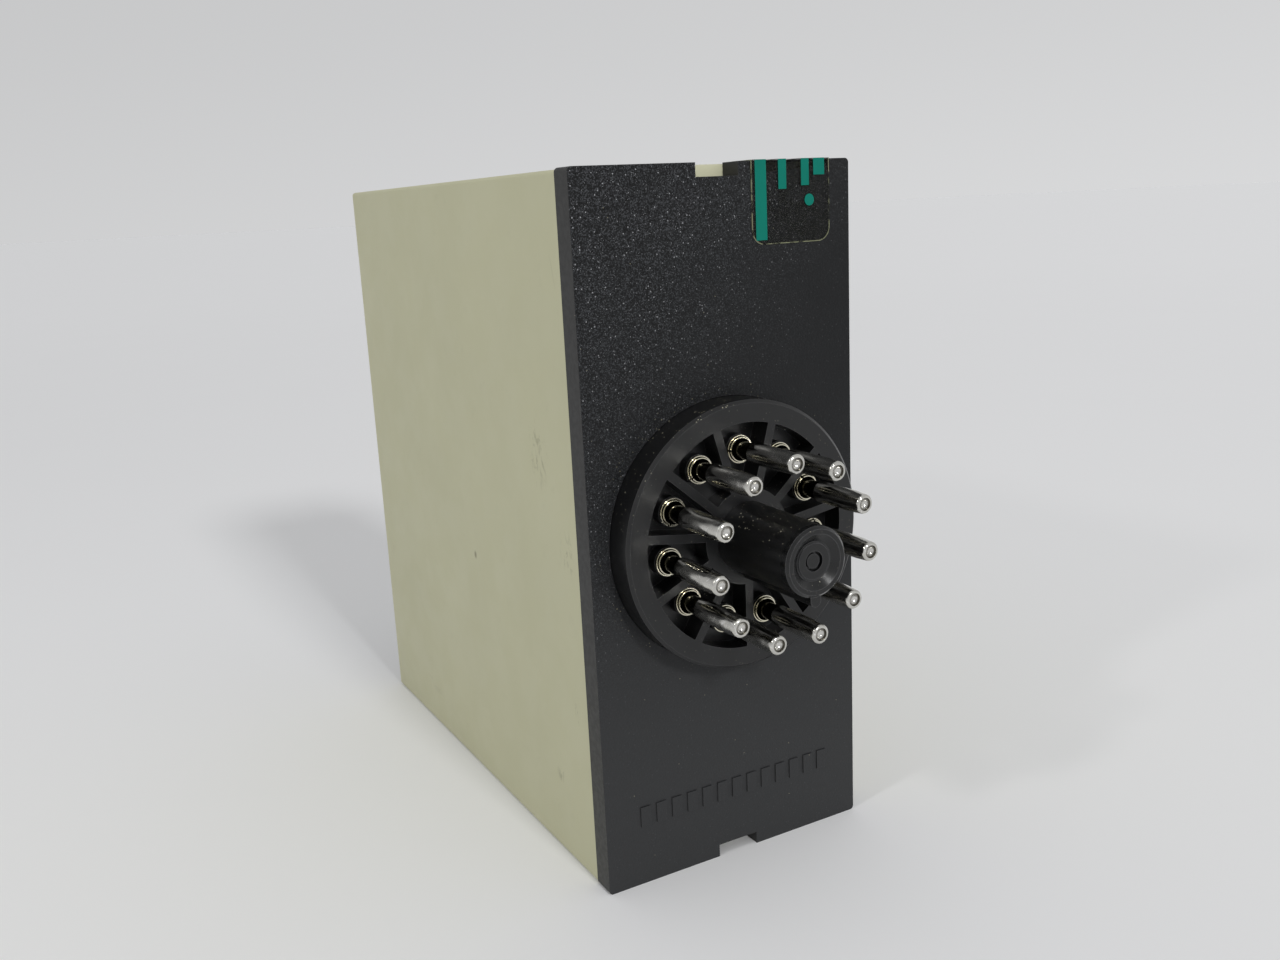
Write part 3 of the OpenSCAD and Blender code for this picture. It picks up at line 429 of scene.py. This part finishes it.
def film_rim_highlight(f):
    """Cut edge of the label, painted as a thin broken pale line around its rounded corners: a painted
    highlight.
    """
    corner = 1.6 * MM
    inwards = f.calc("MINIMUM", f.minus(f.x, FILM[0].x), f.minus(FILM[1].x, f.x))
    short_x = f.largest(f.minus(corner, inwards), 0.0)
    short_z = f.largest(f.minus(FILM[0].z + corner, f.z), 0.0)
    border = f.minus(corner, f.diagonal(short_x, short_z))
    broken = f.patches(1.1 * MM, 0.34, 0.56, detail=3.0, shift=8)
    return f.times(f.ease(border, 0.16 * MM, 0.06 * MM), broken)


def clear_film():
    """A clear label with plain teal bars. Where it isn't printed, it shows what is under it."""
    f = Finish("clear_film")
    printed = film_print(f)
    rim = film_rim_highlight(f)
    teal = f.uneven((0.001, 0.165, 0.121), (0.002, 0.185, 0.137), 1.4 * MM)
    # The print is worn darker in patches
    tone_share = f.patches(0.35 * MM, 0.68, 0.78, shift=3)
    teal = f.laid(teal, tone_share, 0.30, (0.01, 0.10, 0.08))
    clear = f.uneven((0.010, 0.011, 0.007), (0.030, 0.031, 0.020), 1.2 * MM, detail=3.0)
    # The cut edge is painted pale: a painted highlight
    clear = f.mix(rim, clear, (0.26, 0.27, 0.17))
    f.colour(f.mix(printed, clear, teal))
    haze = f.patches(2.2 * MM, *MOST_NOISE, 0.10, 0.24, detail=3.0, shift=5)
    f.feed(f.shader.inputs["Alpha"], f.largest(haze, f.times(rim, 0.80), printed))
    f.roughness(f.plus(f.times(printed, 0.15), 0.30))
    f.relief((f.noise(0.30 * MM, roughness=0.65), 0.016 * MM))
    f.fixed(specular_ior_level=0.12)
    return f


def front_film():
    """Grey front label with a teal band at its head and a teal line at its foot."""
    f = Finish("front_film")
    low, high = PANEL
    crisp = 0.04 * MM
    margin = 2.0 * MM
    across = f.between(f.x, low.x + margin, high.x - margin, crisp)
    head = f.times(f.between(f.z, high.z - 6.2 * MM, high.z - 3.0 * MM, crisp), across)
    foot = f.times(f.between(f.z, low.z + 3.0 * MM, low.z + 4.0 * MM, crisp), across)
    grey = f.uneven((0.52, 0.53, 0.52), (0.57, 0.575, 0.56), 9 * MM, detail=3.0)
    teal = f.uneven((0.004, 0.235, 0.180), (0.006, 0.262, 0.205), 1.4 * MM)
    grey = f.mix(f.largest(head, foot), grey, teal)
    rubbed = f.scratches(11 * MM, 0.07 * MM, 0.22, shift=2)
    f.colour(f.laid(grey, rubbed, 0.3, (0.80, 0.80, 0.78)))
    f.uneven_roughness(0.34, 0.46, 1.1 * MM, shift=6)
    f.relief((f.noise(0.22 * MM, detail=1.0), 0.006 * MM))
    return f


def moulded(name, dark, light, rough=(0.38, 0.5), grain=(0.2 * MM, 0.006 * MM), edge=None):
    """A moulded plastic with uneven tone, a grain of that size and depth, and edges worn to a tone."""
    f = Finish(name)
    tone = f.uneven(dark, light, 3.5 * MM, detail=3.0)
    if edge:
        tone = f.laid(tone, f.edges(0.15 * MM), 0.6, edge)
    marks = f.scratches(5 * MM, 0.05 * MM, 0.2)
    brighter = tuple(min(1.0, 1.5 * part + 0.03) for part in light)
    f.colour(f.laid(tone, marks, 0.25, brighter))
    f.uneven_roughness(*rough, 1.3 * MM, shift=4)
    size, depth = grain
    f.relief((f.noise(size, detail=1.0), depth))
    return f


def dial_plastic():
    return moulded("dial_plastic", (0.018, 0.018, 0.019), (0.027, 0.027, 0.028),
                   (0.40, 0.52), (0.14 * MM, 0.010 * MM), (0.09, 0.09, 0.09))


def cap_plastic():
    """The dial's cap, with a white pointer line from its middle to its rim."""
    f = moulded("cap_plastic", (0.004, 0.235, 0.180), (0.006, 0.262, 0.205), (0.30, 0.42))
    middle = (DIAL[0].z + DIAL[1].z) / 2
    line = f.times(f.between(f.x, -0.45 * MM, 0.45 * MM, 0.03 * MM),
                   f.ease(f.z, middle, middle + 0.05 * MM))
    f.paint_over(line, (0.78, 0.78, 0.74))
    return f


def lens(name, deep, pale):
    """A tinted diffused lens, paler in random patches, with a glossy skin."""
    f = Finish(name)
    f.colour(f.uneven(deep, pale, 1.5 * MM))
    f.uneven_roughness(0.14, 0.24, 0.8 * MM)
    f.relief((f.noise(0.5 * MM, detail=1.0), 0.004 * MM))
    f.fixed(transmission_weight=0.35, coat_weight=0.4, ior=1.5)
    return f


def green_lens():
    return lens("green_lens", (0.03, 0.34, 0.05), (0.10, 0.55, 0.14))


def red_lens():
    return lens("red_lens", (0.42, 0.012, 0.010), (0.66, 0.04, 0.03))


# ---------------------------------------------------------------- metals

def metal(name, dark, light, rough, streak=(1, 1, 1)):
    """A bare metal with uneven tone and fine marks, drawn out along the streak."""
    f = Finish(name)
    f.colour(f.uneven(dark, light, 1.2 * MM, detail=3.0))
    f.uneven_roughness(*rough, 0.5 * MM, detail=3.0, stretch=streak, shift=2)
    f.relief((f.noise(0.12 * MM, stretch=streak), 0.002 * MM))
    f.fixed(metallic=1.0)
    return f


def pin_rim_highlights(f):
    """The rims of each pin's flange and of the raised ring on it, where a highlight is painted."""
    from_axis = f.from_pin_axis()
    rings = 0.0
    # In millimetres: where each rim starts and ends along the pin, and out from the pin's axis
    for low, high, inner, outer in ((-1.20, -1.03, 1.475, 1.62), (-0.86, -0.70, 1.285, 1.42)):
        band = f.between(f.y, low * MM, high * MM, 0.012 * MM)
        circle = f.between(from_axis, inner * MM, outer * MM, 0.015 * MM)
        rings = f.largest(rings, f.times(band, circle))
    return rings


def pin_metal():
    """Worn nickel: a bright nose, drawn marks along the body, a dark neck and two warm rings with
    painted highlights on their rims.
    """
    f = Finish("pin_metal")
    nickel = f.uneven((0.56, 0.55, 0.51), (0.70, 0.69, 0.65), 1.0 * MM, detail=3.0)
    stain = f.patches(0.7 * MM, 0.50, 0.80, detail=3.0, roughness=0.6, stretch=(1, 0.5, 1), shift=3)
    nickel = f.laid(nickel, stain, 0.30, (0.34, 0.33, 0.29))
    drawn = f.patches(0.34 * MM, 0.52, 0.70, detail=1.0, stretch=(1, 0.06, 1), shift=14)
    nickel = f.laid(nickel, drawn, 0.22, (0.44, 0.43, 0.40))
    tarnish = f.uneven((0.030, 0.027, 0.018), (0.085, 0.078, 0.052), 0.6 * MM, shift=9)
    nickel = f.mix(f.ease(f.y, NECK_END, NECK_END - 0.06 * MM), nickel, tarnish)
    # The rims are a warm brass tone, painted bright as highlights
    warm_tone_and_highlight = f.uneven((0.66, 0.62, 0.47), (0.82, 0.79, 0.66), 0.8 * MM)
    nickel = f.mix(pin_rim_highlights(f), nickel, warm_tone_and_highlight)
    rubbed = f.scratches(2.2 * MM, 0.05 * MM, 0.5, shift=8)
    on_body = f.times(rubbed, f.ease(f.y, 1.9 * MM, 2.4 * MM))
    f.colour(f.laid(nickel, on_body, 0.7, (0.92, 0.91, 0.88)))
    f.roughness(f.patches(0.9 * MM, 0.25, 0.75, 0.11, 0.27, stretch=(1, 0.4, 1), shift=5))
    marks = f.noise(0.16 * MM, detail=1.0, stretch=(1, 0.10, 1))
    dents = f.noise(1.1 * MM, detail=1.0, stretch=(1, 0.5, 1), shift=6)
    f.relief((marks, 0.0008 * MM), (dents, 0.024 * MM), (rubbed, -0.002 * MM))
    f.fixed(metallic=1.0)
    return f


def solder():
    """Bright solder in each pin's nose, with painted shade in the gap around it."""
    f = metal("solder", (0.56, 0.55, 0.52), (0.74, 0.73, 0.70), (0.10, 0.26))
    # Painted shade in the recess around the solder
    painted_gap_shade = f.between(f.from_pin_axis(), 0.50 * MM, 0.74 * MM, 0.05 * MM)
    f.paint_over(painted_gap_shade, f.uneven((0.06, 0.055, 0.045), (0.24, 0.23, 0.20), 0.5 * MM, shift=4))
    f.relief((f.noise(0.42 * MM), 0.045 * MM))
    return f


def copper_wire():
    """Enamelled copper, wound in fine turns around coils that lie along Y."""
    f = Finish("copper_wire")
    pitch = 0.32 * MM
    turns = f.plus(f.times(f.y, 2 * math.pi / pitch), f.times(f.noise(1.8 * MM), 2.0))
    # The grooves between turns are painted darker and the crowns lighter: painted shade
    crown = f.ease(f.calc("SINE", turns), -1.0, 1.0)
    f.colour(f.mix(crown, (0.30, 0.085, 0.030), (0.70, 0.28, 0.13)))
    f.uneven_roughness(0.22, 0.36, 1.0 * MM)
    f.relief((crown, 0.05 * MM))
    f.fixed(metallic=0.9)
    return f


def contact_brass():
    return metal("contact_brass", (0.58, 0.40, 0.15), (0.72, 0.53, 0.24), (0.18, 0.34), (1, 0.2, 1))


def tinned_lead():
    return metal("tinned_lead", (0.52, 0.52, 0.51), (0.68, 0.68, 0.67), (0.22, 0.40))


def core_steel():
    """Thin steel sheets in a stack, each with its own tone."""
    f = Finish("core_steel")
    sheet = 0.5 * MM
    tone = f.noise(sheet, stretch=(1, 0.05, 0.05))
    steel = f.mix(tone, (0.24, 0.25, 0.27), (0.42, 0.43, 0.45))
    rust = f.patches(2.2 * MM, 0.60, 0.78, detail=4.0, roughness=0.6, shift=3)
    f.colour(f.laid(steel, rust, 0.5, (0.22, 0.10, 0.04)))
    f.roughness(f.ease(tone, *MOST_NOISE, 0.34, 0.55))
    from_middle = f.calc("ABSOLUTE", f.minus(f.calc("FRACT", f.times(f.x, 1 / sheet)), 0.5))
    f.relief((f.ease(from_middle, 0.38, 0.5), -0.06 * MM), (tone, 0.02 * MM))
    f.fixed(metallic=0.9)
    return f


# ---------------------------------------------------------------- inside

def case_plastic():
    return moulded("case_plastic", (0.015, 0.015, 0.016), (0.024, 0.024, 0.025),
                   (0.42, 0.60), (0.10 * MM, 0.008 * MM), (0.05, 0.05, 0.05))


def white_plastic():
    return moulded("white_plastic", (0.70, 0.68, 0.60), (0.78, 0.765, 0.69), (0.36, 0.5))


def blue_plastic():
    return moulded("blue_plastic", (0.030, 0.090, 0.26), (0.050, 0.125, 0.33), (0.22, 0.34))


def film_case():
    return moulded("film_case", (0.40, 0.045, 0.015), (0.52, 0.075, 0.025), (0.24, 0.36))


def varistor_coat():
    return moulded("varistor_coat", (0.012, 0.070, 0.27), (0.022, 0.100, 0.36), (0.2, 0.34))


def capacitor_sleeve():
    return moulded("capacitor_sleeve", (0.012, 0.018, 0.060), (0.020, 0.030, 0.095), (0.26, 0.38))


def carbon_track():
    return moulded("carbon_track", (0.030, 0.027, 0.025), (0.060, 0.055, 0.050),
                   (0.45, 0.65), (0.08 * MM, 0.01 * MM))


def resistor_coat():
    """Lacquered bodies with colour bands along their length."""
    f = Finish("resistor_coat")
    spacing = 1.6 * MM
    along = f.calc("FRACT", f.times(f.y, 1 / spacing))
    body = f.uneven((0.12, 0.36, 0.46), (0.17, 0.44, 0.54), 1.1 * MM)
    tint = f.uneven((0.45, 0.10, 0.02), (0.02, 0.02, 0.02), 4.1 * MM, detail=0.0, shift=7)
    f.colour(f.mix(f.between(along, 0.35, 0.6, 0.03), body, tint))
    f.uneven_roughness(0.22, 0.38, 0.9 * MM)
    f.relief((f.noise(0.6 * MM), 0.02 * MM))
    return f


def board():
    """Green solder mask over copper tracks."""
    f = Finish("board")
    track = f.ease(f.borders(3.2 * MM), 0.14, 0.10)
    green = f.mix(track, (0.014, 0.090, 0.030), (0.045, 0.190, 0.060))
    weave = f.noise(0.5 * MM, detail=1.0, stretch=(1, 1, 0.2))
    f.colour(f.laid(green, weave, 0.3, (0.06, 0.16, 0.06)))
    f.uneven_roughness(0.24, 0.38, 1.0 * MM)
    f.relief((track, 0.03 * MM))
    return f


MATERIALS = {make.__name__: make().material for make in (
    housing_plastic, plate_plastic, plug_plastic, pin_metal, copper_wire, solder, clear_film,
    front_film, dial_plastic, cap_plastic, case_plastic, white_plastic, contact_brass,
    carbon_track, tinned_lead, green_lens, red_lens, board, core_steel, blue_plastic,
    capacitor_sleeve, film_case, varistor_coat, resistor_coat)}


def finish_nodes():
    """Each CAD node gets the material of its slot in the record."""
    for part in frame["record"]["subparts"]:
        node = NODES[part["node"]]
        node.data.materials.clear()
        node.data.materials.append(MATERIALS[part["material_slot"]])


# ---------------------------------------------------------------- edges of the CAD nodes

def joined_faces():
    """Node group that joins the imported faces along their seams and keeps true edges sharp."""
    group = bpy.data.node_groups.new("joined_faces", "GeometryNodeTree")
    for side in ("INPUT", "OUTPUT"):
        group.interface.new_socket("Geometry", in_out=side, socket_type="NodeSocketGeometry")
    nodes = Nodes(group)
    source = nodes.add("NodeGroupInput")
    result = nodes.add("NodeGroupOutput")
    merge = nodes.add("GeometryNodeMergeByDistance")
    merge.inputs["Distance"].default_value = 0.0005 * MM
    clean = nodes.add("GeometryNodeRemoveAttribute")
    clean.inputs["Name"].default_value = "custom_normal"
    smooth = nodes.add("GeometryNodeSetShadeSmooth", domain="FACE")
    sharp = nodes.add("GeometryNodeSetShadeSmooth", domain="EDGE")
    sharp.inputs["Shade Smooth"].default_value = False
    angle = nodes.add("GeometryNodeInputMeshEdgeAngle")
    bent = nodes.add("FunctionNodeCompare", data_type="FLOAT", operation="GREATER_THAN")
    bent.inputs["B"].default_value = math.radians(28)
    nodes.feed(merge.inputs[0], source.outputs[0])
    nodes.feed(clean.inputs[0], merge.outputs[0])
    nodes.feed(smooth.inputs["Geometry"], clean.outputs[0])
    nodes.feed(sharp.inputs["Geometry"], smooth.outputs[0])
    nodes.feed(bent.inputs["A"], angle.outputs["Unsigned Angle"])
    nodes.feed(sharp.inputs["Selection"], bent.outputs[0])
    nodes.feed(result.inputs[0], sharp.outputs[0])
    return group


def soften_edges():
    """Rounds the edges of what shows outside, with modifiers."""
    widths = {"housing": 0.12 * MM, "base_plate": 0.12 * MM, "knob": 0.12 * MM,
              "plug_base": 0.10 * MM, "spigot": 0.10 * MM}
    widths.update({name: 0.03 * MM for name in PIN_NAMES})
    group = joined_faces()
    for name, width in widths.items():
        join = NODES[name].modifiers.new("joined", "NODES")
        join.node_group = group
        bevel = NODES[name].modifiers.new("rounded", "BEVEL")
        bevel.width = width
        bevel.segments = 2
        bevel.limit_method = "ANGLE"
        bevel.angle_limit = math.radians(40)
        bevel.harden_normals = True
        bevel.use_clamp_overlap = True
        bevel.miter_outer = "MITER_ARC"


# ---------------------------------------------------------------- print on the front

def placed(name, data):
    """A new object in the scene, made from that data."""
    piece = bpy.data.objects.new(name, data)
    bpy.context.scene.collection.objects.link(piece)
    return piece


def scale_ink():
    """Dark print with a slightly uneven tone."""
    f = Finish("scale_ink")
    f.colour(f.uneven((0.012, 0.013, 0.014), (0.030, 0.031, 0.033), 0.8 * MM, detail=3.0))
    f.uneven_roughness(0.40, 0.55, 0.6 * MM, shift=3)
    f.relief((f.noise(0.2 * MM, detail=1.0), 0.003 * MM))
    return f


def scale_place(turn, radius, depth=0.0):
    """A point on the front label, at that turn from the top and that distance from the dial's axis."""
    centre = (DIAL[0] + DIAL[1]) / 2
    x = centre.x - radius * math.sin(turn)
    z = centre.z + radius * math.cos(turn)
    return Vector((x, PANEL[0].y - depth, z))


def scale_tick(mesh, turn, inner, outer, width, depth):
    """A thin raised bar that points at the dial's axis."""
    side = Vector((math.cos(turn), 0, math.sin(turn))) * width / 2
    corners = []
    for level in (-depth, depth):
        for radius, sign in ((inner, -1), (outer, -1), (outer, 1), (inner, 1)):
            corners.append(mesh.verts.new(scale_place(turn, radius, level) + sign * side))
    low = corners[:4]
    high = corners[4:]
    mesh.faces.new(low)
    mesh.faces.new(high[::-1])
    for k in range(4):
        after = (k + 1) % 4
        mesh.faces.new((low[after], low[k], high[k], high[after]))


def scale_number(mesh, text, place, size, depth):
    """The outline of a plain number, upright on the front label."""
    curve = bpy.data.curves.new("number", "FONT")
    curve.body = text
    curve.size = size
    curve.align_x = "CENTER"
    curve.align_y = "CENTER"
    curve.extrude = depth
    shape = placed("number", curve)
    start = len(mesh.verts)
    mesh.from_mesh(shape.to_mesh())
    mesh.verts.ensure_lookup_table()
    upright = Matrix.Translation(place) @ Matrix.Rotation(math.pi / 2, 4, "X")
    bmesh.ops.transform(mesh, matrix=upright, verts=mesh.verts[start:])
    shape.to_mesh_clear()
    bpy.data.objects.remove(shape)
    bpy.data.curves.remove(curve)


def dial_scale():
    """Eleven ticks with numbers and ten short ticks between them, over the dial's 270 degrees."""
    sweep = math.radians(270)
    steps = 20
    depth = 0.02 * MM
    tick_width = 0.26 * MM
    long_tick = 1.5 * MM
    short_tick = 0.9 * MM
    number_size = 2.1 * MM
    dial_edge = (DIAL[1].x - DIAL[0].x) / 2
    inner = dial_edge + 0.4 * MM
    number_radius = dial_edge + 3.4 * MM
    mesh = bmesh.new()
    for step in range(steps + 1):
        turn = sweep / 2 - sweep * step / steps
        numbered = step % 2 == 0
        outer = inner + (long_tick if numbered else short_tick)
        scale_tick(mesh, turn, inner, outer, tick_width, depth)
        if numbered:
            scale_number(mesh, str(step // 2), scale_place(turn, number_radius), number_size, depth)
    data = bpy.data.meshes.new("dial_scale")
    mesh.to_mesh(data)
    mesh.free()
    data.materials.append(scale_ink().material)
    scale = placed("dial_scale", data)
    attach(scale, "module")


# ---------------------------------------------------------------- studio

def pale_paper():
    """Plain paper, painted paler towards the bright side of the room as painted light, and painted a
    little darker near the object as painted shade.
    """
    f = Finish("pale_paper")
    from_middle = f.diagonal(f.x, f.y)
    towards = f.plus(f.times(f.x, BRIGHT_SIDE.x), f.times(f.y, BRIGHT_SIDE.y))
    side = f.calc("DIVIDE", towards, f.plus(from_middle, 0.15))
    side = f.plus(side, f.times(f.noise(60 * MM, detail=3.0), 0.10))
    share = f.plus(f.times(side, 0.5), 0.5)
    paper = f.mix(share, (0.822, 0.824, 0.830), (0.990, 0.992, 0.998))
    # Painted shade near the object
    f.colour(f.laid(paper, f.ease(from_middle, 1.3, 0.15), 0.03, (0.20, 0.20, 0.20)))
    f.roughness(0.9)
    f.fixed(specular_ior_level=0.0)
    return f


def studio_floor():
    """A plain pale sheet that runs out to the horizon."""
    sheet = bmesh.new()
    bmesh.ops.create_circle(sheet, cap_ends=True, segments=96, radius=14.0)
    data = bpy.data.meshes.new("studio_floor")
    sheet.to_mesh(data)
    sheet.free()
    data.materials.append(pale_paper().material)
    floor = placed("studio_floor", data)
    floor.location.z = HOUSING[0].z


def surroundings():
    """An even pale room: a little darker higher up, and brighter towards one side."""
    world = bpy.data.worlds.new("studio")
    bpy.context.scene.world = world
    world.use_nodes = True
    room = Nodes(world.node_tree)
    sky = room.tree.nodes["Background"]
    direction = room.add("ShaderNodeTexCoord").outputs["Generated"]
    height = room.axis(direction, "Z")
    above_horizon = room.ease(height, -0.05, 0.20, 0.668, 0.610)
    higher_up = room.ease(height, 0.20, 0.50, 0.0, -0.072)
    side = room.ease(room.dot(direction, BRIGHT_SIDE), -1.0, 1.0, 0.89, 1.11, kind="LINEAR")
    room.feed(sky.inputs["Strength"], room.times(room.plus(above_horizon, higher_up), side))
    sky.inputs["Color"].default_value = (0.985, 0.99, 1.0, 1.0)


def pointing(direction):
    """Rotation of a lamp or a camera that looks in that direction, with its top upwards."""
    return direction.to_track_quat("-Z", "Y")


def near_light(name, place, target, size, power, colour):
    """A round soft lamp at that place, turned to the target."""
    data = bpy.data.lights.new(name, "AREA")
    data.shape = "DISK"
    data.size = size
    data.energy = power
    data.color = colour
    lamp = placed(name, data)
    lamp.location = place
    lamp.rotation_euler = pointing(target - place).to_euler()


def far_light(name, towards, spread, power):
    """A distant lamp, seen from the object in that direction and that many degrees wide."""
    data = bpy.data.lights.new(name, "SUN")
    data.angle = math.radians(spread)
    data.energy = power
    lamp = placed(name, data)
    lamp.rotation_euler = pointing(-towards).to_euler()


def lamps():
    """A distant lamp in front of the plug and a small one beside it."""
    far_light("front_lamp", towards=Vector((-0.04, 1.75, 1.0)), spread=9.0, power=1.10)
    near_light("side_lamp", place=Vector((0.255, 0.058, 0.197)), target=Vector((0, PLATE_FACE, 0)),
               size=0.03, power=0.13, colour=(1.0, 0.99, 0.97))


def viewpoint():
    """Camera where the photographer stood: its place, the way it looks, and a slight tilt."""
    azimuth = math.radians(151.20)
    elevation = math.radians(13.098)
    tilt = math.radians(2.82)
    data = bpy.data.cameras.new("viewpoint")
    data.sensor_width = 36.0
    data.lens = 33.15
    data.clip_start = 0.005
    data.clip_end = 20
    camera = placed("viewpoint", data)
    back = Vector((math.sin(azimuth) * math.cos(elevation),
                   -math.cos(azimuth) * math.cos(elevation),
                   math.sin(elevation)))
    level = pointing(-back).to_matrix()
    camera.rotation_euler = (level @ Matrix.Rotation(-tilt, 3, "Z")).to_euler()
    camera.location = Vector((70.95, 104.84, 36.36)) * MM
    bpy.context.scene.camera = camera


finish_nodes()
soften_edges()
dial_scale()
studio_floor()
surroundings()
lamps()
viewpoint()
bpy.context.scene.view_settings.view_transform = "Standard"
